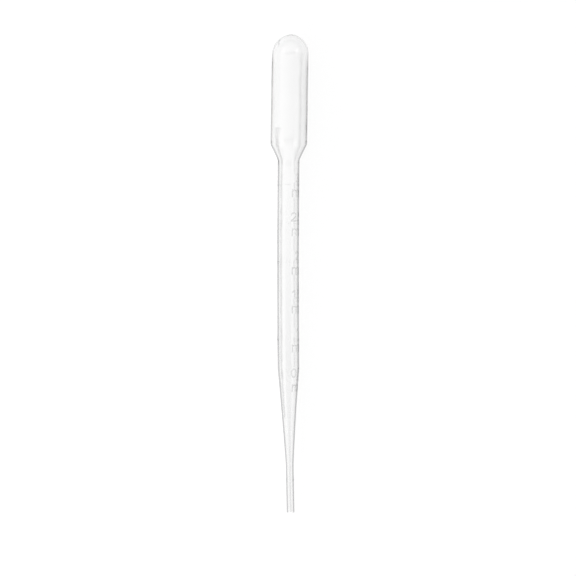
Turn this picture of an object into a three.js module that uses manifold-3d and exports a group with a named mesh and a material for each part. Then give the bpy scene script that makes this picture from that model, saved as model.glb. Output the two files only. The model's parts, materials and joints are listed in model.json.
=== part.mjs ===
// A transfer pipette, blow moulded in one piece of clear soft plastic: a slim open tip, a taper, a graduated
// stem, a shoulder and a squeeze bulb with a domed end, hollow from the tip to the dome.
// Millimetres, +Z up. It lies on its side as it comes to rest, with the bulb towards +Y, and its origin is
// under the middle of its box.
import * as THREE from 'three';
import { mergeVertices } from 'three/addons/utils/BufferGeometryUtils.js';
import Module from 'manifold-3d';

const wasm = await Module();
wasm.setup();

// Lengths along the axis, in their order from the open tip to the dome.
const tipLength = 16;
const taperLength = 32.6;
const stemLength = 69.6;
const shoulderLength = 5.2;
const bulbLength = 29.9;
const domeLength = 6.7;

// Outer radii, and the wall of each stretch, measured across the axis.
const tipRadius = 1.27;
const stemRadius = 3.6;
const bulbRadius = 6.1;
const tipWall = 0.4;
const stemWall = 0.5;
const bulbWall = 0.42;

// How many times steeper the taper is than a straight cone where it leaves the stem.
const taperSteepness = 1.2;

// How far the middle stands off the straight line between the two ends, to the left with the bulb up.
const bow = 0.87;

// Graduation lines, by their distance from the open tip. The lowest step is longer, as the stem narrows there.
const graduationCount = 6;
const graduationValue = 0.5;
const lowestGraduation = 44.6;
const lowestGraduationStep = 13.4;
const graduationStep = 12.95;
const shortLineHalfAngle = THREE.MathUtils.degToRad(60);

// The middle of the numbers, turned from straight up towards +X.
const labelAngle = THREE.MathUtils.degToRad(62);
const numberHeight = 2.7;
const numberRise = 2.3;
const unitHeight = 2.2;
const unitDrop = 2.8;
const letterGap = 0.3;

// A line across the tip, and the weld that the mould leaves over the dome.
const tipLinePlace = 10.8;
const weldDepth = 2.9;
const weldAngle = THREE.MathUtils.degToRad(-43);

// Every raised line is a round bead sunk into the wall.
const beadRadius = 0.28;
const beadSink = 0.1;
const beadSides = 6;

// Facets around the axis, and the longest step along it on a straight and on a curved stretch.
const facets = 20;
const straightStep = 12;
const taperStep = 4;
const domeSteps = 6;
const stepRoundAxis = THREE.MathUtils.degToRad(20);
const stepRoundArc = THREE.MathUtils.degToRad(38);
const boreOverrun = 1;

// The ends of the stretches, by their distance from the open tip.
const taperStart = tipLength;
const stemStart = taperStart + taperLength;
const shoulderStart = stemStart + stemLength;
const bulbStart = shoulderStart + shoulderLength;
const domeStart = bulbStart + bulbLength;
const overallLength = domeStart + domeLength;

// The taper's radius at a share of the way from the tip to the stem.
function taperRadius(fromRadius, toRadius, share) {
  const eased = share + (taperSteepness - 1) * share * (share - 1);
  return fromRadius + (toRadius - fromRadius) * eased;
}

// The outer radius on the tip, the taper or the stem.
function surfaceRadius(place) {
  const share = THREE.MathUtils.clamp((place - taperStart) / taperLength, 0, 1);
  return taperRadius(tipRadius, stemRadius, share);
}

// Points (radius, place) from the open end to the top of the dome, taken in by the given walls.
function outline(wallAtTip, wallAtStem, wallAtBulb) {
  const tip = tipRadius - wallAtTip;
  const stem = stemRadius - wallAtStem;
  const bulb = bulbRadius - wallAtBulb;
  const dome = domeLength - wallAtBulb;
  const points = [];

  function stretch(start, length, longestStep, radiusAt) {
    const steps = Math.ceil(length / longestStep);
    for (let step = 0; step < steps; step += 1) {
      const share = step / steps;
      points.push(new THREE.Vector2(radiusAt(share), start + length * share));
    }
  }

  stretch(0, tipLength, straightStep, () => tip);
  stretch(taperStart, taperLength, taperStep, (share) => taperRadius(tip, stem, share));
  stretch(stemStart, stemLength, straightStep, () => stem);
  stretch(shoulderStart, shoulderLength, straightStep, (share) => stem + (bulb - stem) * share);
  stretch(bulbStart, bulbLength, straightStep, () => bulb);
  for (let step = 0; step < domeSteps; step += 1) {
    const angle = (Math.PI / 2) * (step / domeSteps);
    points.push(new THREE.Vector2(bulb * Math.cos(angle), domeStart + dome * Math.sin(angle)));
  }
  points.push(new THREE.Vector2(0, domeStart + dome));
  return points;
}

// A closed solid from a closed three.js geometry.
function solid(geometry) {
  const bare = geometry.clone();
  bare.deleteAttribute('normal');
  bare.deleteAttribute('uv');
  const merged = mergeVertices(bare, 1e-5);
  const corners = merged.index.array;
  const triangles = [];
  for (let i = 0; i < corners.length; i += 3) {
    const [a, b, c] = corners.slice(i, i + 3);
    if (a !== b && b !== c && c !== a) {
      triangles.push(a, b, c);
    }
  }
  return new wasm.Manifold(new wasm.Mesh({
    numProp: 3,
    vertProperties: Float32Array.from(merged.attributes.position.array),
    triVerts: Uint32Array.from(triangles),
  }));
}

// A solid turned about the Y axis, with a facet and not an edge facing down.
function turned(points) {
  return solid(new THREE.LatheGeometry(points, facets, Math.PI / facets));
}

// A point on the surface, from its angle round the axis and its place along it, sunk for a bead.
function surfacePoint(angle, place) {
  const radius = surfaceRadius(place) - beadSink;
  return new THREE.Vector3(radius * Math.sin(angle), place, radius * Math.cos(angle));
}

// A curve through space from a function of the share of the way along it.
class Route extends THREE.Curve {
  constructor(pointAt) {
    super();
    this.pointAt = pointAt;
  }

  getPoint(share, target = new THREE.Vector3()) {
    return target.copy(this.pointAt(share));
  }
}

// A round bead along a route.
function bead(pointAt, steps) {
  const circle = new THREE.EllipseCurve(0, 0, beadRadius, beadRadius);
  const section = new THREE.Shape(circle.getPoints(beadSides).slice(0, beadSides));
  const options = { steps, bevelEnabled: false, extrudePath: new Route(pointAt) };
  return solid(new THREE.ExtrudeGeometry(section, options));
}

// A bead right round the axis.
function beadRing(place) {
  const middle = surfaceRadius(place) - beadSink;
  const points = [];
  for (let side = 0; side <= beadSides; side += 1) {
    const angle = -2 * Math.PI * ((side % beadSides) / beadSides);
    points.push(new THREE.Vector2(middle + beadRadius * Math.cos(angle), place - beadRadius * Math.sin(angle)));
  }
  return turned(points);
}

// A bead part of the way round, to each side of the labels.
function beadArc(place) {
  const steps = Math.ceil((2 * shortLineHalfAngle) / stepRoundAxis);
  return bead((share) => {
    const angle = labelAngle + shortLineHalfAngle * (2 * share - 1);
    return surfacePoint(angle, place);
  }, steps);
}

// Strokes of the characters, each in a box one unit tall and as wide as it says. Where two strokes follow on
// from each other they overlap, so that they join without a gap.
function line(x0, y0, x1, y1) {
  return new THREE.LineCurve(new THREE.Vector2(x0, y0), new THREE.Vector2(x1, y1));
}

function arc(x, y, radiusX, radiusY, from, to) {
  const start = THREE.MathUtils.degToRad(from);
  const end = THREE.MathUtils.degToRad(to);
  return new THREE.EllipseCurve(x, y, radiusX, radiusY, start, end, to < from);
}

const characters = {
  0: { width: 0.7, strokes: [arc(0.35, 0.5, 0.35, 0.5, -10, 190), arc(0.35, 0.5, 0.35, 0.5, 170, 370)] },
  1: { width: 0.3, strokes: [line(0.3, 0, 0.3, 1), line(0.3, 1, 0, 0.75)] },
  2: { width: 0.7, strokes: [arc(0.35, 0.69, 0.33, 0.31, 170, -35), line(0.62, 0.51, 0, 0), line(0, 0, 0.7, 0)] },
  3: { width: 0.7, strokes: [arc(0.35, 0.76, 0.3, 0.24, 150, -90), arc(0.35, 0.26, 0.35, 0.26, 90, -150)] },
  5: { width: 0.7, strokes: [line(0.65, 1, 0.1, 1), line(0.1, 1, 0.05, 0.5), arc(0.33, 0.33, 0.37, 0.33, 140, -140)] },
  '.': { width: 0.1, strokes: [line(0.05, 0, 0.05, 0.08)] },
  m: {
    width: 1.4,
    strokes: [line(0, 0, 0, 1), arc(0.35, 0.6, 0.35, 0.4, 180, 0), line(0.7, 0.7, 0.7, 0),
      arc(1.05, 0.6, 0.35, 0.4, 180, 0), line(1.4, 0.7, 1.4, 0)],
  },
  L: { width: 0.5, strokes: [line(0, 1, 0, 0), line(0, 0, 0.5, 0)] },
};

// How many steps a stroke takes, from how far it turns round the axis or round its own middle.
function stepsAlong(stroke, height) {
  if (stroke.isLineCurve) {
    const turn = (Math.abs(stroke.v2.x - stroke.v1.x) * height) / stemRadius;
    return Math.max(1, Math.ceil(turn / stepRoundAxis));
  }
  return Math.ceil(Math.abs(stroke.aEndAngle - stroke.aStartAngle) / stepRoundArc);
}

// Beads for a word that stands upright with the bulb up, centred on the label angle and on a place.
function word(text, place, height) {
  const letters = [...text].map((letter) => characters[letter]);
  const width = letters.reduce((sum, letter) => sum + letter.width, letterGap * (letters.length - 1));
  const beads = [];
  let left = -width / 2;
  for (const letter of letters) {
    const start = left;
    for (const stroke of letter.strokes) {
      const angleOf = (point) => labelAngle + ((start + point.x) * height) / stemRadius;
      const placeOf = (point) => place + (point.y - 0.5) * height;
      beads.push(bead((share) => {
        const point = stroke.getPoint(share);
        return surfacePoint(angleOf(point), placeOf(point));
      }, stepsAlong(stroke, height)));
    }
    left += letter.width + letterGap;
  }
  return beads;
}

// The weld over the dome, down to the same depth on both sides.
function domeWeld() {
  const lowest = Math.asin(1 - weldDepth / domeLength);
  return bead((share) => {
    const angle = THREE.MathUtils.lerp(lowest, Math.PI - lowest, share);
    const radius = (bulbRadius - beadSink) * Math.cos(angle);
    const place = domeStart + (domeLength - beadSink - beadRadius / 2) * Math.sin(angle);
    return new THREE.Vector3(radius * Math.sin(weldAngle), place, radius * Math.cos(weldAngle));
  }, 2 * domeSteps);
}

// The graduations: a full ring at each whole number, a short line at each half, a number and a unit.
function graduations() {
  const beads = [];
  for (let index = 0; index < graduationCount; index += 1) {
    const value = (index + 1) * graduationValue;
    const above = index === 0 ? 0 : lowestGraduationStep + (index - 1) * graduationStep;
    const place = lowestGraduation + above;
    beads.push(Number.isInteger(value) ? beadRing(place) : beadArc(place));
    beads.push(...word(String(value), place + numberRise, numberHeight));
    beads.push(...word('mL', place - unitDrop, unitHeight));
  }
  return beads;
}

// The outer form with its raised lines, less the bore that opens at the tip.
function pipetteSolid() {
  const outside = [new THREE.Vector2(0, 0), ...outline(0, 0, 0)];
  const bore = outline(tipWall, stemWall, bulbWall);
  const mouth = new THREE.Vector2(bore[0].x, -boreOverrun);
  const inside = [new THREE.Vector2(0, -boreOverrun), mouth, ...bore];
  let body = turned(outside);
  for (const raised of [...graduations(), beadRing(tipLinePlace), domeWeld()]) {
    body = body.add(raised);
  }
  return body.subtract(turned(inside));
}

// A geometry from a solid, bowed sideways along its length.
function bowedGeometry(piece) {
  const mesh = piece.getMesh();
  const positions = Float32Array.from(mesh.vertProperties);
  for (let i = 0; i < positions.length; i += 3) {
    const fromMiddle = (2 * positions[i + 1]) / overallLength - 1;
    positions[i] -= bow * (1 - fromMiddle * fromMiddle);
  }
  const geometry = new THREE.BufferGeometry();
  geometry.setAttribute('position', new THREE.BufferAttribute(positions, 3));
  geometry.setIndex(new THREE.BufferAttribute(Uint32Array.from(mesh.triVerts), 1));
  geometry.computeVertexNormals();
  return geometry;
}

// At rest the bulb touches the floor where it meets the shoulder, and so does what the flattest line from
// there meets first, which is the lower end of the stem.
function restingTilt() {
  const below = outline(0, 0, 0).filter((point) => point.y < bulbStart);
  const slopes = below.map((point) => (bulbRadius - point.x) / (bulbStart - point.y));
  return Math.atan(Math.min(...slopes) * Math.cos(Math.PI / facets));
}

const clearPlastic = new THREE.MeshStandardMaterial({
  color: 0xf4f6f7,
  roughness: 0.2,
  metalness: 0,
  transparent: true,
  opacity: 0.35,
});

const pipette = new THREE.Mesh(bowedGeometry(pipetteSolid()), clearPlastic);
pipette.name = 'pipette';
pipette.rotation.x = restingTilt();

const box = new THREE.Box3().setFromObject(pipette, true);
const middle = box.getCenter(new THREE.Vector3());
pipette.position.set(-middle.x, -middle.y, -box.min.z);

const model = new THREE.Group();
model.add(pipette);
export default model;
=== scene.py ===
"""A clear plastic dropper pipette that lies on a pale floor, seen from straight above."""
import json
import math

import bpy
import numpy as np
from mathutils import Matrix, Vector


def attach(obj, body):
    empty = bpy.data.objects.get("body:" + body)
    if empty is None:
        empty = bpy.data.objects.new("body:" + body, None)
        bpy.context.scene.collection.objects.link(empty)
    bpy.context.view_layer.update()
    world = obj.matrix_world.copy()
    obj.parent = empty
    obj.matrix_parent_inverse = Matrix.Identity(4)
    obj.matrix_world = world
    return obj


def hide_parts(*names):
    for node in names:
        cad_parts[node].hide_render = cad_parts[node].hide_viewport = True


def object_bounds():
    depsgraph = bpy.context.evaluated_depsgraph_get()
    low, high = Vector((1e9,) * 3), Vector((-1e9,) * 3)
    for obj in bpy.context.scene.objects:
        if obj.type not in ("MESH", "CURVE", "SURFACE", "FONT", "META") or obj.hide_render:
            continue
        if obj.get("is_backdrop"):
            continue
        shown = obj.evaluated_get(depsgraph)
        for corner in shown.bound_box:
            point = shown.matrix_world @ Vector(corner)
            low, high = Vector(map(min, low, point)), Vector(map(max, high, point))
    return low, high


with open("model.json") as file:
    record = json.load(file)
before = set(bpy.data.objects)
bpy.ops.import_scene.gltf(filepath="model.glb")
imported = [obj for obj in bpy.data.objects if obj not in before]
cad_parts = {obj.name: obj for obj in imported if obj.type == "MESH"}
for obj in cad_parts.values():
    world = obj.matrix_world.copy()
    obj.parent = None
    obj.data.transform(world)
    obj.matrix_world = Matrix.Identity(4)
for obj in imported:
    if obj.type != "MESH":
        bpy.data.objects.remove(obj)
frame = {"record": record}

cad_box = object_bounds()
MM = 0.001

# Lengths along the axis in millimetres, from the open tip to the dome, as in the CAD model.
TIP_LENGTH = 16.0
TAPER_LENGTH = 32.6
STEM_LENGTH = 69.6
SHOULDER_LENGTH = 5.2
BULB_LENGTH = 29.9
DOME_LENGTH = 6.7
TAPER_START = TIP_LENGTH
STEM_START = TAPER_START + TAPER_LENGTH
SHOULDER_START = STEM_START + STEM_LENGTH
BULB_START = SHOULDER_START + SHOULDER_LENGTH
DOME_START = BULB_START + BULB_LENGTH
OVERALL_LENGTH = DOME_START + DOME_LENGTH

# Outer radii and walls in millimetres, how many times steeper the taper is than a cone where it leaves the
# stem, and how far the middle bows to the left, as in the CAD model.
TIP_RADIUS = 1.27
STEM_RADIUS = 3.6
BULB_RADIUS = 6.1
TIP_WALL = 0.4
STEM_WALL = 0.5
BULB_WALL = 0.42
TAPER_STEEPNESS = 1.2
BOW = 0.87

# Graduations and the line across the tip, as in the CAD model. A place is a distance from the open tip, and
# an angle round the axis turns from straight up towards +X.
GRADUATION_COUNT = 6
GRADUATION_VALUE = 0.5
LOWEST_GRADUATION = 44.6
LOWEST_GRADUATION_STEP = 13.4
GRADUATION_STEP = 12.95
SHORT_LINE_HALF_ANGLE = math.radians(60)
LABEL_ANGLE = math.radians(62)
NUMBER_HEIGHT = 2.7
NUMBER_RISE = 2.3
UNIT_HEIGHT = 2.2
UNIT_DROP = 2.8
LETTER_GAP = 0.3
TIP_LINE_PLACE = 10.8

# The raised lines and characters: half their width, their height above the wall, which is lower than in the
# CAD model, and the power that rounds them. From the middle of their words to an angle down the side of the
# stem, the characters lose a share of their height and of their painted shade.
RING_HEIGHT = 0.07
RING_HALF_WIDTH = 0.28
LETTER_HEIGHT = 0.025
LETTER_HALF_WIDTH = 0.34
LETTER_SIDE_FADE = 0.3
LETTER_SIDE_FADE_ANGLE = math.radians(20)
BEAD_POWER = 1.5

# Half the size, round and along the stem, of the area at a graduation that holds its characters, and a
# distance that is past the edge of every stroke.
LABEL_REACH_ROUND = 5.0
LABEL_REACH_ALONG = 6.0
FAR_AWAY = 9.0

# The seams that the two halves of the mould leave: a fine ridge, in a grey band that is as wide as an angle
# round the axis; the grey is partly a cloudy seam and partly painted shade for the dark lines along it. The
# seam that faces up starts on the bulb's lower end, and the other one on the dome.
FRONT_SEAM_ANGLE = math.radians(-40.5)
BACK_SEAM_ANGLE = math.radians(141)
FRONT_SEAM_TOP = BULB_START + 5.4
BACK_SEAM_TOP = DOME_START + 0.5
FRONT_SEAM_END = TAPER_START + 0.5 * TAPER_LENGTH
BACK_SEAM_END = STEM_START
SEAM_HEIGHT = 0.04
SEAM_HALF_WIDTH = 0.35
SEAM_CLOUD_AND_SHADE_HALF_ANGLE = math.radians(10)
SEAM_END_LENGTH = 0.4
SEAM_TOP_LENGTH = 3.5
SEAM_TOP_BREADTH = 1.9

# How far a seam wanders from side to side, how much its cloud and painted shade vary, and the sine waves
# that both follow.
# Each wave is its size, its waves round the axis, its radians along a millimetre, and its phase.
SEAM_WANDER = math.radians(1.2)
SEAM_WANDER_WAVES = ((1.0, 0, 0.45, 0.0), (0.6, 0, 0.97, 1.0))
SEAM_PATCHINESS = 0.15
SEAM_PATCH_WAVES = ((1.0, 0, 0.83, 0.5), (1.0, 0, 0.31, 0.0))

# The weld over the dome, where the mould pinches it shut. It turns by an angle towards the top, and its
# cloud starts at a depth below the top.
WELD_ANGLE = math.radians(-46)
WELD_TWIST = math.radians(-30)
WELD_DEPTH = 3.5
WELD_CLOUD_EDGE = (1.4, 1.9)
WELD_HEIGHT = 0.02
WELD_HALF_WIDTH = 0.7

# How grey each of these is painted: cloud at the weld, cloud and painted shade at the seams, and painted
# shade at the characters and the rings. And how much of each seam's grey is missing beside the characters.
FRONT_SEAM_CLOUD_AND_SHADE = 1.0
BACK_SEAM_CLOUD_AND_SHADE = 0.58
FRONT_SEAM_GAPS = 0.0
BACK_SEAM_GAPS = 0.9
SEAM_GAP_SOFTNESS = 0.4
WELD_CLOUD = 0.8
LETTER_PAINTED_SHADE = 0.95
RING_PAINTED_SHADE = 0.05

# A grey tint of the wall, which grows towards each end, and a faint grey streak along the tip.
DOME_GREYING = 0.035
DOME_GREYING_STRETCH = (BULB_START, DOME_START)
TIP_GREYING = 0.04
TIP_GREYING_STRETCH = (18.0, 42.0)
TIP_STREAK = 0.3
TIP_STREAK_ANGLE = math.radians(6)
TIP_STREAK_HALF_ANGLE = math.radians(14)

# Unevenness of the blown wall's two sides, as a share of the radius, and the sine waves that it follows.
OUTER_WAVES = 0.0008
INNER_WAVES = 0.006
WALL_WAVES = ((1.0, 2, 0.21, 0.4), (0.7, 3, -0.34, 2.0), (0.5, 1, 0.62, 1.1), (0.4, 4, 0.95, 4.0))

# Grid of the fine mesh: round the axis, and along it, with closer rows at characters, rings and corners. Its
# outer rows are never closer than one length, and both sides' rows keep a margin from the tip and the dome.
COLUMNS = 150
COARSE_STEP = 1.0
BORE_STEP = 1.5
LABEL_STEP = 0.17
LABEL_STRETCH = (-4.2, 4.0)
RING_ROWS = 9
RING_STRETCH = 0.32
CORNER_ROWS = 9
CORNER_STRETCH = 1.2
DOME_ROWS = 26
CLOSEST_ROWS = 0.35 * LABEL_STEP
END_MARGIN = 0.3

# A corner is rounded by averaging the sharp shape over a length to both sides. The lip's edges are quarter
# circles. Arcs are cut into steps of so many degrees.
CORNER_ROUNDING = 0.55
CORNER_SAMPLES = 9
LIP_ROUNDING = 0.07
LIP_ARC_STEP = 30
CHARACTER_ARC_STEP = 12

# The plastic's finish. A grain is how many specks or lines there are to a metre along X, Y and Z.
CLEAR_COLOUR = (0.99, 0.99, 0.99, 1)
# The grey blended into the clear colour: cloud at the seams and the weld, painted shade at the seams, the
# characters and the rings, and a grey tint towards the ends.
CLOUD_AND_SHADE_COLOUR = (0.5, 0.5, 0.5, 1)
ROUGHNESS = (0.03, 0.07)
CLOUDY_ROUGHNESS = 0.1
MARK_ROUGHNESS = 0.1
IOR = 1.51
ABSORPTION_COLOUR = (0.5, 0.5, 0.5, 1)
ABSORPTION_DENSITY = 40
FLOW_LINE_GRAIN = (900, 40, 900)
FLOW_LINE_DETAIL = 3
FLOW_LINE_HEIGHT = 0.000004
HAZE_GRAIN = (400, 250, 400)
HAZE_DETAIL = 2
HAZE_EDGE = (0.3, 0.7)
CLOUD_AND_SHADE_PATCHES = (0.8, 1.0)

# The floor, with lengths in metres: half its width, its diffuse tone, and its glow to the left and to the
# right of its middle, with a soft change between them.
FLOOR_HALF_WIDTH = 12.0
FLOOR_DIFFUSE = 0.1
FLOOR_GLOW = (1.01, 0.91)
FLOOR_SIDE_SOFTNESS = 0.005

# The floor's tone as reflections see it: to the left and to the right, both near the pipette and further
# out, and past the bulb's end. An edge is the stretch over which one tone turns into the next.
FLOOR_TONE_NEAR = (0.6, 0.5)
FLOOR_TONE_FAR = (0.8, 0.6)
FLOOR_TONE_END = 0.84
FLOOR_NEAR_EDGE = (0.0105, 0.014)
FLOOR_END_EDGE = (0.068, 0.078)

# What shows through the plastic is dimmer on the floor beside and beyond the pipette, and low in the world.
THROUGH_TONE = 0.72
FLOOR_BEYOND_SIDE = (0.0068, 0.011)
FLOOR_BEYOND_END = (0.088, 0.1)

# The world as reflections see it. It brightens to white between two angles above the horizon, from one tone
# on the left, another on the right and a third towards both ends. A dark zone lies overhead. All edges but
# the first are the X or the Y of a direction of length 1.
HORIZON_EDGE = (14, 32)
HORIZON_TONE = (0.9, 0.5)
HORIZON_SIDE_EDGE = (0.1, 0.6)
HORIZON_END_TONE = 0.62
HORIZON_END_EDGE = (0.35, 0.6)
OVERHEAD_TONE = 0.1
OVERHEAD_SIDE_EDGE = (0.45, 0.65)
OVERHEAD_FAR_EDGE = (-0.16, 0.0)
OVERHEAD_NEAR_EDGE = (-0.4, -0.25)

# Softboxes that reflections see: their direction, half their angle in degrees, and their brightness. Their
# edge is soft over a share of that angle.
SOFTBOXES = (((0.66, 0.31, 0.68), 10, 1.8), ((-0.66, 0.31, 0.68), 10, 1.8))
SOFTBOX_SOFTNESS = 0.15

# The camera: the height of its picture at the floor and how far it sees, both in metres, its lens and sensor
# in millimetres, and how far it stands off the middle of the CAD model's box along X and Y, in metres.
PICTURE_HEIGHT = 0.1937
CAMERA_RANGE = 30
LENS = 200.0
SENSOR = 36.0
CAMERA_OFFSET = (-0.00051, -0.0047)


def taper_radius(tip, stem, share):
    """Radius at a share of the way up the taper, which is a little slimmer than a cone."""
    eased = share + (TAPER_STEEPNESS - 1) * share * (share - 1)
    return tip + (stem - tip) * eased


def sharp_radius(place, tip, stem, bulb):
    """Radius at each place below the dome, with sharp corners."""
    along_taper = np.clip((place - TAPER_START) / TAPER_LENGTH, 0, 1)
    along_shoulder = np.clip((place - SHOULDER_START) / SHOULDER_LENGTH, 0, 1)
    return taper_radius(tip, stem, along_taper) + (bulb - stem) * along_shoulder


def rounded_radius(place, tip, stem, bulb):
    """The same, averaged over a short stretch so that each corner is rounded."""
    offsets = np.linspace(-CORNER_ROUNDING, CORNER_ROUNDING, CORNER_SAMPLES)
    return np.mean([sharp_radius(place + offset, tip, stem, bulb) for offset in offsets], axis=0)


def graduation_places():
    """Places of the graduation lines. The lowest step is longer, as the stem narrows there."""
    upper = LOWEST_GRADUATION + LOWEST_GRADUATION_STEP + GRADUATION_STEP * np.arange(GRADUATION_COUNT - 1)
    return [LOWEST_GRADUATION, *upper]


# Characters as strokes in a box one unit tall: straight lines, and arcs from one angle to another.
def line(*points):
    return np.array(points, float).reshape(-1, 2)


def arc(x, y, radius_x, radius_y, start, end):
    count = 2 + int(abs(end - start) / CHARACTER_ARC_STEP)
    angles = np.radians(np.linspace(start, end, count))
    return np.column_stack([x + radius_x * np.cos(angles), y + radius_y * np.sin(angles)])


# Each character is its width and its strokes.
CHARACTERS = {
    "0": (0.7, [arc(0.35, 0.5, 0.35, 0.5, 0, 360)]),
    "1": (0.3, [line(0.3, 0, 0.3, 1, 0, 0.75)]),
    "2": (0.7, [arc(0.35, 0.69, 0.33, 0.31, 170, -35), line(0.62, 0.51, 0, 0, 0.7, 0)]),
    "3": (0.7, [arc(0.35, 0.76, 0.3, 0.24, 150, -90), arc(0.35, 0.26, 0.35, 0.26, 90, -150)]),
    "5": (0.7, [line(0.65, 1, 0.1, 1, 0.05, 0.5), arc(0.33, 0.33, 0.37, 0.33, 140, -140)]),
    ".": (0.1, [line(0.05, 0, 0.05, 0.08)]),
    "m": (1.4, [line(0, 0, 0, 1), arc(0.35, 0.6, 0.35, 0.4, 180, 0), line(0.7, 0.6, 0.7, 0),
                arc(1.05, 0.6, 0.35, 0.4, 180, 0), line(1.4, 0.6, 1.4, 0)]),
    "L": (0.5, [line(0, 1, 0, 0, 0.5, 0)]),
}


def word_segments(text, place, height):
    """The straight pieces of a word's strokes, in millimetres round and along the unrolled stem.

    The word's middle is at 0 round the stem and at the place along it.
    """
    letters = [CHARACTERS[letter] for letter in text]
    width = sum(letter_width for letter_width, strokes in letters) + LETTER_GAP * (len(letters) - 1)
    left = -width / 2
    segments = []
    for letter_width, strokes in letters:
        for stroke in strokes:
            points = (stroke + (left, -0.5)) * height + (0, place)
            segments += list(zip(points[:-1], points[1:]))
        left += letter_width + LETTER_GAP
    return segments


def bead_height(distance, half_width):
    """Height of a smooth bead, from 1 on its middle line to 0 at its edges."""
    return np.clip(1 - (distance / half_width) ** 2, 0, 1) ** BEAD_POWER


def segment_distance(x, y, start, end):
    """Distance of points from a straight piece of a stroke."""
    along = end - start
    share = ((x - start[0]) * along[0] + (y - start[1]) * along[1]) / (along @ along)
    share = np.clip(share, 0, 1)
    return np.hypot(x - start[0] - share * along[0], y - start[1] - share * along[1])


def turned_from(angle, middle):
    """An angle measured from another, between half a turn each way."""
    return (angle - middle + math.pi) % (2 * math.pi) - math.pi


def sine_waves(waves, angle, place):
    """The height of each of these waves on a grid of angles and places."""
    return [size * np.sin(turns * angle + rate * place + phase) for size, turns, rate, phase in waves]


def ripple(waves, angle, place):
    """The sum of these waves, as a share of the most that it can be."""
    return sum(sine_waves(waves, angle, place)) / sum(wave[0] for wave in waves)


def graduation_characters(across, place, middle, value):
    """Height of a graduation's number and unit, from 0 to 1, at distances round and along the stem."""
    segments = word_segments(f"{value:g}", middle + NUMBER_RISE, NUMBER_HEIGHT)
    segments += word_segments("mL", middle - UNIT_DROP, UNIT_HEIGHT)
    distance = np.full(len(across), FAR_AWAY)
    for start, end in segments:
        distance = np.minimum(distance, segment_distance(across, place, start, end))
    return bead_height(distance, LETTER_HALF_WIDTH)


def marks(angle, place):
    """Heights of the raised lines and the raised characters, from 0 to 1, on a grid of angles and places."""
    rings = bead_height(place - TIP_LINE_PLACE, RING_HALF_WIDTH) * np.ones_like(angle)
    characters = np.zeros_like(angle)
    round_label = turned_from(angle, LABEL_ANGLE)
    across = round_label * STEM_RADIUS
    past_short_line = np.maximum(np.abs(round_label) - SHORT_LINE_HALF_ANGLE, 0) * STEM_RADIUS
    for index, middle in enumerate(graduation_places()):
        value = (index + 1) * GRADUATION_VALUE
        past_line = 0 if value == int(value) else past_short_line
        rings = np.maximum(rings, bead_height(np.hypot(place - middle, past_line), RING_HALF_WIDTH))
        near = (np.abs(place - middle) < LABEL_REACH_ALONG) & (np.abs(across) < LABEL_REACH_ROUND)
        raised = graduation_characters(across[near], place[near], middle, value)
        characters[near] = np.maximum(characters[near], raised)
    side = np.clip(round_label / LETTER_SIDE_FADE_ANGLE, 0, 1)
    return rings, characters * (1 - LETTER_SIDE_FADE * side)


def stretch_share(place, low, high, softness):
    """1 between two places, falling to 0 outside them."""
    return np.clip((place - low) / softness + 1, 0, 1) * np.clip((high - place) / softness + 1, 0, 1)


def beside_characters(place):
    """1 beside a number or a unit, otherwise 0, with a soft edge."""
    share = np.zeros_like(place)
    for graduation in graduation_places():
        number, unit = graduation + NUMBER_RISE, graduation - UNIT_DROP
        for middle, height in ((number, NUMBER_HEIGHT), (unit, UNIT_HEIGHT)):
            beside = stretch_share(place, middle - height / 2, middle + height / 2, SEAM_GAP_SOFTNESS)
            share = np.maximum(share, beside)
    return share


def seams(angle, place, radius):
    """Height of the mould's seams and how grey the plastic is painted round them, both from 0 to 1; the grey
    is partly cloud and partly painted shade.
    """
    wander = SEAM_WANDER * ripple(SEAM_WANDER_WAVES, angle, place)
    patches = np.prod(sine_waves(SEAM_PATCH_WAVES, angle, place), axis=0)
    unevenness = 1 - SEAM_PATCHINESS * (1 - patches)
    ridge = np.zeros_like(angle)
    cloud_and_painted_shade = np.zeros_like(angle)
    for middle, low, high, strength, gaps in (
        (FRONT_SEAM_ANGLE, FRONT_SEAM_END, FRONT_SEAM_TOP, FRONT_SEAM_CLOUD_AND_SHADE, FRONT_SEAM_GAPS),
        (BACK_SEAM_ANGLE, BACK_SEAM_END, BACK_SEAM_TOP, BACK_SEAM_CLOUD_AND_SHADE, BACK_SEAM_GAPS),
    ):
        off_middle = turned_from(angle, middle + wander)
        share = stretch_share(place, low, high, SEAM_END_LENGTH)
        near_top = np.clip(1 - (high - place) / SEAM_TOP_LENGTH, 0, 1)
        breadth = 1 + (SEAM_TOP_BREADTH - 1) * near_top
        ridge = np.maximum(ridge, bead_height(off_middle * radius, SEAM_HALF_WIDTH) * share)
        band = bead_height(off_middle, SEAM_CLOUD_AND_SHADE_HALF_ANGLE * breadth) * share / breadth
        cloud_and_painted_shade = np.maximum(cloud_and_painted_shade, strength * unevenness * band * (1 - gaps * beside_characters(place)))
    return ridge, cloud_and_painted_shade


def dome_weld(angle, place, radius):
    """Height of the weld over the dome, and how cloudy it is: only low on the dome's upper side."""
    depth = OVERALL_LENGTH - place
    middle = WELD_ANGLE + WELD_TWIST * np.clip(1 - depth / WELD_DEPTH, 0, 1)
    across = radius * np.sin(angle - middle)
    height = bead_height(np.hypot(across, np.maximum(depth - WELD_DEPTH, 0)), WELD_HALF_WIDTH)
    low = np.clip((depth - WELD_CLOUD_EDGE[0]) / (WELD_CLOUD_EDGE[1] - WELD_CLOUD_EDGE[0]), 0, 1)
    return height, height * low * (np.cos(angle - middle) > 0)


def wall_greying(angle, place):
    """How grey the wall is painted, which is most at the dome and at the tip."""
    dome = np.interp(place, DOME_GREYING_STRETCH, (0, DOME_GREYING))
    towards_tip = np.interp(place, TIP_GREYING_STRETCH, (1, 0))
    streak = bead_height(turned_from(angle, TIP_STREAK_ANGLE), TIP_STREAK_HALF_ANGLE)
    return dome + towards_tip * (TIP_GREYING + TIP_STREAK * streak)


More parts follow.
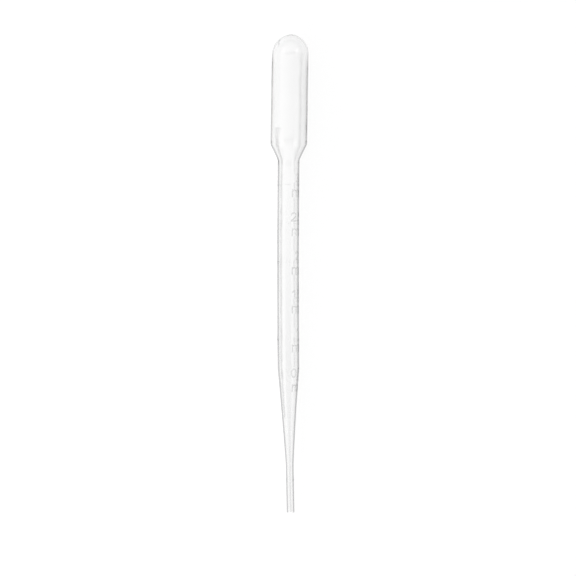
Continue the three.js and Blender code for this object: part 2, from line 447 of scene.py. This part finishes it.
def dense_places():
    """Places of the outer rows: close together where marks are, and wider elsewhere."""
    low, high = LABEL_STRETCH
    fine = [np.arange(middle + low, middle + high, LABEL_STEP) for middle in graduation_places()]
    for middle in (TIP_LINE_PLACE, *graduation_places()):
        fine.append(middle + RING_STRETCH * np.linspace(-1, 1, RING_ROWS))
    for corner in (TAPER_START, STEM_START, SHOULDER_START, BULB_START, FRONT_SEAM_TOP):
        fine.append(corner + CORNER_STRETCH * np.linspace(-1, 1, CORNER_ROWS))
    coarse = np.arange(END_MARGIN, DOME_START, COARSE_STEP)
    places = np.sort(np.concatenate([coarse, *fine]))
    keep = [places[0]]
    for place in places[1:]:
        if place - keep[-1] > CLOSEST_ROWS:
            keep.append(place)
    return np.array([place for place in keep if place < DOME_START - END_MARGIN])


def dome_rows(radius, length):
    """Rows (place, radius) of a dome from its foot to just short of its top."""
    angles = np.linspace(0, math.pi / 2, DOME_ROWS, endpoint=False)
    return np.column_stack([DOME_START + length * np.sin(angles), radius * np.cos(angles)])


def lip_rows(bore_radius):
    """The rounded edges of the open tip, from its outside to its bore."""
    quarter_turn = np.radians(np.arange(0, 91, LIP_ARC_STEP))
    places = LIP_ROUNDING * (1 - np.sin(quarter_turn))
    inset = LIP_ROUNDING * (1 - np.cos(quarter_turn))
    outer_edge = np.column_stack([places, TIP_RADIUS - inset])
    inner_edge = np.column_stack([places, bore_radius + inset])
    return np.vstack([outer_edge, inner_edge[::-1]])


def profile():
    """Rows (place, radius): the outside from the dome down, and then the lip and the bore up to the dome."""
    places = dense_places()
    outside = rounded_radius(places, TIP_RADIUS, STEM_RADIUS, BULB_RADIUS)
    bore_radii = (TIP_RADIUS - TIP_WALL, STEM_RADIUS - STEM_WALL, BULB_RADIUS - BULB_WALL)
    bore_places = np.arange(END_MARGIN, DOME_START - END_MARGIN, BORE_STEP)
    bore = rounded_radius(bore_places, *bore_radii)
    outer_rows = np.vstack([
        dome_rows(BULB_RADIUS, DOME_LENGTH)[::-1],
        np.column_stack([places, outside])[::-1],
    ])
    inner_rows = np.vstack([
        lip_rows(bore_radii[0]),
        np.column_stack([bore_places, bore]),
        dome_rows(bore_radii[2], DOME_LENGTH - BULB_WALL),
    ])
    return outer_rows, inner_rows


def surface_detail(angle, place, radius, outside):
    """Height of the surface over its smooth shape, how grey it is painted, and where it is marked. The grey
    is cloud at the seams and the weld, painted shade at the seams, the characters and the rings, and a grey
    tint towards the ends.

    Everything but the wall's waves is on the outside only.
    """
    rings, characters = (np.where(outside, part, 0) for part in marks(angle, place))
    ridge, seam_cloud_and_shade = (np.where(outside, part, 0) for part in seams(angle, place, radius))
    weld, weld_cloud = (np.where(outside, part, 0) for part in dome_weld(angle, place, radius))
    height = np.maximum(RING_HEIGHT * rings, LETTER_HEIGHT * characters)
    height = height + SEAM_HEIGHT * ridge + WELD_HEIGHT * weld
    height += np.where(outside, OUTER_WAVES, INNER_WAVES) * ripple(WALL_WAVES, angle, place) * radius
    # Painted shade: the characters, the rings and partly the seams are greyed in place of the dark lines
    # that light bending through their relief makes.
    cloud_and_painted_shade = seam_cloud_and_shade + WELD_CLOUD * weld_cloud + LETTER_PAINTED_SHADE * characters + RING_PAINTED_SHADE * rings
    cloud_and_painted_shade += np.where(outside, wall_greying(angle, place), 0)
    return height, np.clip(cloud_and_painted_shade, 0, 1), np.maximum(rings, characters)


def skin_faces(row_count):
    """Quads between the rows, and fans of triangles that close the outside and the bore at the dome."""
    first = np.arange(row_count - 1)[:, None] * COLUMNS
    column = np.arange(COLUMNS)[None, :]
    following = (column + 1) % COLUMNS
    corners = [first + column, first + COLUMNS + column, first + COLUMNS + following, first + following]
    quads = np.stack(corners, axis=-1).reshape(-1, 4)
    last = (row_count - 1) * COLUMNS
    outer_top = row_count * COLUMNS
    inner_top = outer_top + 1
    fans = [(outer_top, i, (i + 1) % COLUMNS) for i in range(COLUMNS)]
    fans += [(inner_top, last + (i + 1) % COLUMNS, last + i) for i in range(COLUMNS)]
    return quads.tolist() + fans


def pipette_mesh():
    """The whole skin as one closed mesh: outside, lip and bore."""
    outer_rows, inner_rows = profile()
    rows = np.vstack([outer_rows, inner_rows])
    slope = np.gradient(rows, axis=0)
    normal = np.column_stack([slope[:, 1], -slope[:, 0]])
    normal /= np.linalg.norm(normal, axis=1)[:, None]
    round_axis = 2 * math.pi * np.arange(COLUMNS) / COLUMNS
    place, angle = np.meshgrid(rows[:, 0], round_axis, indexing="ij")
    radius = np.repeat(rows[:, 1:], COLUMNS, axis=1)
    outside = np.arange(len(rows))[:, None] < len(outer_rows)
    height, cloud_and_painted_shade, mark = surface_detail(angle, place, radius, outside)
    radius = radius + height * normal[:, 1:]
    place = place + height * normal[:, :1]
    points = np.stack([radius * np.sin(angle), place, radius * np.cos(angle)], axis=-1).reshape(-1, 3)
    dome_tops = [(0, OVERALL_LENGTH, 0), (0, OVERALL_LENGTH - BULB_WALL, 0)]
    points = np.vstack([points, dome_tops])
    points[:, 0] -= BOW * (1 - (2 * points[:, 1] / OVERALL_LENGTH - 1) ** 2)

    mesh = bpy.data.meshes.new("pipette_skin")
    mesh.from_pydata((points * MM).tolist(), [], skin_faces(len(rows)))
    mesh.polygons.foreach_set("use_smooth", np.ones(len(mesh.polygons), bool))
    # The cloud attribute also carries painted shade at the seams, the characters and the rings.
    for name, values in (("cloud_and_painted_shade", cloud_and_painted_shade), ("mark", mark)):
        layer = mesh.attributes.new(name, "FLOAT", "POINT")
        at_dome_tops = np.zeros(len(dome_tops))
        layer.data.foreach_set("value", np.append(values.ravel(), at_dome_tops).astype(np.float32))
    mesh.validate()
    return mesh


def resting_place():
    """The CAD model's place: its tip end mount is on the ring's +X side, halfway through the wall."""
    mount = frame["record"]["mounts"][0]
    tilt = math.asin(-mount["axis"][2])
    middle = Vector(mount["pos_m"]) - Vector(((TIP_RADIUS - TIP_WALL / 2) * MM, 0, 0))
    return Matrix.Translation(middle) @ Matrix.Rotation(tilt, 4, "X")


class Nodes:
    """Short calls that add nodes to one node tree and link them."""

    def __init__(self, tree):
        self.nodes = tree.nodes
        self.links = tree.links

    def add(self, kind, **settings):
        node = self.nodes.new("ShaderNode" + kind)
        for name, value in settings.items():
            setattr(node, name, value)
        return node

    def put(self, socket, value):
        """Link an output to a socket, or set a plain value on it."""
        if isinstance(value, bpy.types.NodeSocket):
            self.links.new(value, socket)
        else:
            socket.default_value = value

    def math(self, operation, *values):
        node = self.add("Math", operation=operation)
        for socket, value in zip(node.inputs, values):
            self.put(socket, value)
        return node.outputs[0]

    def ramp(self, value, low, high, start=0.0, end=1.0):
        """A smooth step from start to end while the value goes from low to high."""
        node = self.add("MapRange", interpolation_type="SMOOTHSTEP")
        for socket, setting in zip(node.inputs, (value, low, high, start, end)):
            self.put(socket, setting)
        return node.outputs[0]

    def mix(self, node, kind, share, first, second):
        """Set a Mix node's inputs for numbers or colours, and give its output."""
        settings = (("Factor", "VALUE", share), ("A", kind, first), ("B", kind, second))
        for name, socket_kind, setting in settings:
            socket = next(i for i in node.inputs if i.name == name and i.type == socket_kind)
            self.put(socket, setting)
        return next(output for output in node.outputs if output.type == kind)

    def choose(self, share, first, second):
        """The first number where the share is 0, and the second where it is 1."""
        return self.mix(self.add("Mix", data_type="FLOAT"), "VALUE", share, first, second)

    def blend(self, share, first, second):
        """The same for two colours."""
        return self.mix(self.add("Mix", data_type="RGBA"), "RGBA", share, first, second)

    def noise(self, place, grain, detail):
        """Noise between 0 and 1 whose grain is this many to a metre along X, Y and Z."""
        mapping = self.add("Mapping")
        self.put(mapping.inputs["Vector"], place)
        self.put(mapping.inputs["Scale"], grain)
        node = self.add("TexNoise")
        self.put(node.inputs["Vector"], mapping.outputs[0])
        self.put(node.inputs["Scale"], 1.0)
        self.put(node.inputs["Detail"], detail)
        return node.outputs["Fac"]

    def towards(self, direction, aim, half_angle, softness):
        """1 within half an angle of an aim, otherwise 0, with an edge that is soft over a share of it."""
        node = self.add("VectorMath", operation="DOT_PRODUCT")
        self.put(node.inputs[0], direction)
        self.put(node.inputs[1], Vector(aim).normalized())
        outer = math.cos(math.radians(half_angle * (1 + softness)))
        inner = math.cos(math.radians(half_angle * (1 - softness)))
        return self.ramp(node.outputs["Value"], outer, inner)

    def after_bounce(self, kind):
        """1 for light with at least one bounce of this kind on its way to the camera, otherwise 0."""
        path = self.add("LightPath")
        return self.math("GREATER_THAN", path.outputs[kind + " Depth"], 0.5)


def clear_polyethylene():
    """Clear soft plastic: slightly hazy, with flow lines along it, cloudy at the seams and the weld, and
    greyed with painted shade at the seams, the characters and the rings.
    """
    material = bpy.data.materials.new("clear_polyethylene")
    material.use_nodes = True
    tree = Nodes(material.node_tree)
    shader = tree.nodes["Principled BSDF"]
    place = tree.add("TexCoord").outputs["Object"]
    flow_lines = tree.noise(place, FLOW_LINE_GRAIN, FLOW_LINE_DETAIL)
    haze = tree.noise(place, HAZE_GRAIN, HAZE_DETAIL)
    mark = tree.add("Attribute", attribute_name="mark").outputs["Fac"]
    # Painted shade: this attribute greys the characters, the rings and partly the seams, besides the real
    # cloud.
    cloud_and_painted_shade = tree.add("Attribute", attribute_name="cloud_and_painted_shade").outputs["Fac"]
    cloud_and_painted_shade = tree.math("MULTIPLY", cloud_and_painted_shade, tree.ramp(haze, *HAZE_EDGE, *CLOUD_AND_SHADE_PATCHES))
    tree.put(shader.inputs["Base Color"], tree.blend(cloud_and_painted_shade, CLEAR_COLOUR, CLOUD_AND_SHADE_COLOUR))
    roughness = tree.ramp(haze, *HAZE_EDGE, *ROUGHNESS)
    roughness = tree.math("MULTIPLY_ADD", cloud_and_painted_shade, CLOUDY_ROUGHNESS, roughness)
    tree.put(shader.inputs["Roughness"], tree.math("MULTIPLY_ADD", mark, MARK_ROUGHNESS, roughness))
    shader.inputs["IOR"].default_value = IOR
    shader.inputs["Transmission Weight"].default_value = 1.0
    bump = tree.add("Bump")
    bump.inputs["Distance"].default_value = FLOW_LINE_HEIGHT
    bump.inputs["Strength"].default_value = 1.0
    tree.put(bump.inputs["Height"], flow_lines)
    tree.put(shader.inputs["Normal"], bump.outputs[0])
    volume = tree.add("VolumeAbsorption")
    volume.inputs["Color"].default_value = ABSORPTION_COLOUR
    volume.inputs["Density"].default_value = ABSORPTION_DENSITY
    tree.put(tree.nodes["Material Output"].inputs["Volume"], volume.outputs[0])
    return material


def make_pipette():
    piece = bpy.data.objects.new("pipette_skin", pipette_mesh())
    bpy.context.scene.collection.objects.link(piece)
    piece.data.transform(resting_place())
    piece.data.materials.append(clear_polyethylene())
    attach(piece, "root")
    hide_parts("pipette")


def pale_floor():
    """A glowing surface with tones of its own in reflections.

    What shows of it through the plastic, beside and beyond the pipette, is dimmer.
    """
    material = bpy.data.materials.new("pale_floor")
    material.use_nodes = True
    tree = Nodes(material.node_tree)
    position = tree.add("SeparateXYZ")
    tree.put(position.inputs[0], tree.add("NewGeometry").outputs["Position"])
    x, y = position.outputs["X"], position.outputs["Y"]
    to_right = tree.ramp(x, -FLOOR_SIDE_SOFTNESS, FLOOR_SIDE_SOFTNESS)
    near = tree.choose(to_right, *FLOOR_TONE_NEAR)
    far = tree.choose(to_right, *FLOOR_TONE_FAR)
    tone = tree.ramp(tree.math("ABSOLUTE", x), *FLOOR_NEAR_EDGE, near, far)
    tone = tree.choose(tree.ramp(y, *FLOOR_END_EDGE), tone, FLOOR_TONE_END)
    beyond = tree.ramp(tree.math("ABSOLUTE", x), *FLOOR_BEYOND_SIDE)
    beyond = tree.math("MAXIMUM", beyond, tree.ramp(tree.math("ABSOLUTE", y), *FLOOR_BEYOND_END))
    beyond = tree.math("MULTIPLY", beyond, tree.after_bounce("Transmission"))
    glow = tree.choose(to_right, *FLOOR_GLOW)
    glow = tree.choose(beyond, glow, THROUGH_TONE)
    glow = tree.choose(tree.after_bounce("Glossy"), glow, tone)
    shader = tree.nodes["Principled BSDF"]
    shader.inputs["Base Color"].default_value = (FLOOR_DIFFUSE, FLOOR_DIFFUSE, FLOOR_DIFFUSE, 1)
    shader.inputs["Roughness"].default_value = 1.0
    shader.inputs["Specular IOR Level"].default_value = 0.0
    shader.inputs["Emission Color"].default_value = (1, 1, 1, 1)
    tree.put(shader.inputs["Emission Strength"], glow)
    return material


def make_floor(height):
    mesh = bpy.data.meshes.new("floor")
    square = ((-1, -1), (1, -1), (1, 1), (-1, 1))
    corners = [(x * FLOOR_HALF_WIDTH, y * FLOOR_HALF_WIDTH, height) for x, y in square]
    mesh.from_pydata(corners, [], [(0, 1, 2, 3)])
    mesh.materials.append(pale_floor())
    floor = bpy.data.objects.new("floor", mesh)
    bpy.context.scene.collection.objects.link(floor)
    floor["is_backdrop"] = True


def make_world():
    """White all round, with tones of its own in reflections.

    What shows of it through the plastic is dimmer near the horizon.
    """
    world = bpy.data.worlds.new("studio")
    world.use_nodes = True
    bpy.context.scene.world = world
    tree = Nodes(world.node_tree)
    background = tree.nodes["Background"]
    background.inputs["Color"].default_value = (1, 1, 1, 1)
    direction = tree.add("TexCoord").outputs["Generated"]
    split = tree.add("SeparateXYZ")
    tree.put(split.inputs[0], direction)
    x, y, z = split.outputs
    rise = [math.sin(math.radians(angle)) for angle in HORIZON_EDGE]
    horizon = tree.choose(tree.ramp(x, *HORIZON_SIDE_EDGE), *HORIZON_TONE)
    horizon = tree.ramp(tree.math("ABSOLUTE", y), *HORIZON_END_EDGE, horizon, HORIZON_END_TONE)
    tone = tree.ramp(z, *rise, horizon, 1.0)
    sideways = tree.ramp(tree.math("ABSOLUTE", x), *OVERHEAD_SIDE_EDGE, 1.0, 0.0)
    far = tree.ramp(y, *OVERHEAD_FAR_EDGE, 1.0, 0.0)
    near = tree.ramp(y, *OVERHEAD_NEAR_EDGE)
    overhead = tree.math("MULTIPLY", sideways, tree.math("MULTIPLY", far, near))
    tone = tree.choose(overhead, tone, OVERHEAD_TONE)
    for aim, half_angle, brightness in SOFTBOXES:
        box = tree.towards(direction, aim, half_angle, SOFTBOX_SOFTNESS)
        tone = tree.choose(box, tone, brightness)
    clear = tree.ramp(z, *rise, THROUGH_TONE, 1.0)
    clear = tree.choose(tree.after_bounce("Transmission"), 1.0, clear)
    tree.put(background.inputs["Strength"], tree.choose(tree.after_bounce("Glossy"), clear, tone))


def make_camera():
    """Straight above, with the bulb at the top of the picture."""
    camera = bpy.data.objects.new("camera", bpy.data.cameras.new("camera"))
    camera.data.lens = LENS
    camera.data.sensor_width = SENSOR
    camera.data.clip_end = CAMERA_RANGE
    low, high = cad_box
    x = (low.x + high.x) / 2 + CAMERA_OFFSET[0]
    y = (low.y + high.y) / 2 + CAMERA_OFFSET[1]
    camera.location = (x, y, PICTURE_HEIGHT * LENS / SENSOR)
    bpy.context.scene.collection.objects.link(camera)
    bpy.context.scene.camera = camera


make_pipette()
make_floor(min(0.0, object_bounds()[0].z))
make_world()
make_camera()
bpy.context.scene.view_settings.view_transform = "Standard"
